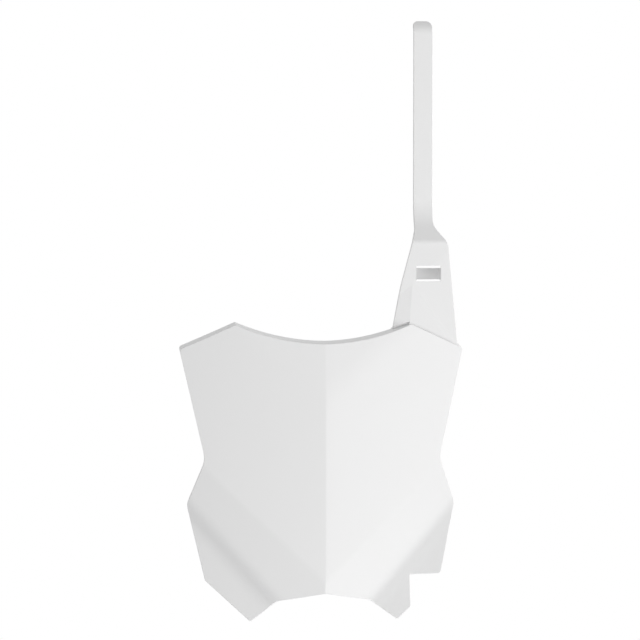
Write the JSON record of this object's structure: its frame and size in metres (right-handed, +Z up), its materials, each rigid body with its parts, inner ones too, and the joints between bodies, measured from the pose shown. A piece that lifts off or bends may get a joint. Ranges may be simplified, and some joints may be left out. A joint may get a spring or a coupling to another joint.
{
  "type": "racing number board",
  "caption": "Front number board of an off-road motorbike: a creased shell with flared lower wings, a strap with a keeper loop at one top corner and locating pegs behind.",
  "frame": {"origin": "midway between the two rear pegs, in the plane of their shoulders", "axes": "+Z up along the ridge, +Y towards the motorbike (the way the pegs point), +X to the right of someone facing the board, the side with the strap"},
  "size_m": [0.2372, 0.0444, 0.4991],
  "materials": {
    "board": "satin white injection-moulded polypropylene"
  },
  "bodies": {
    "root": {"number_board": "board"}
  },
  "joints": []
}
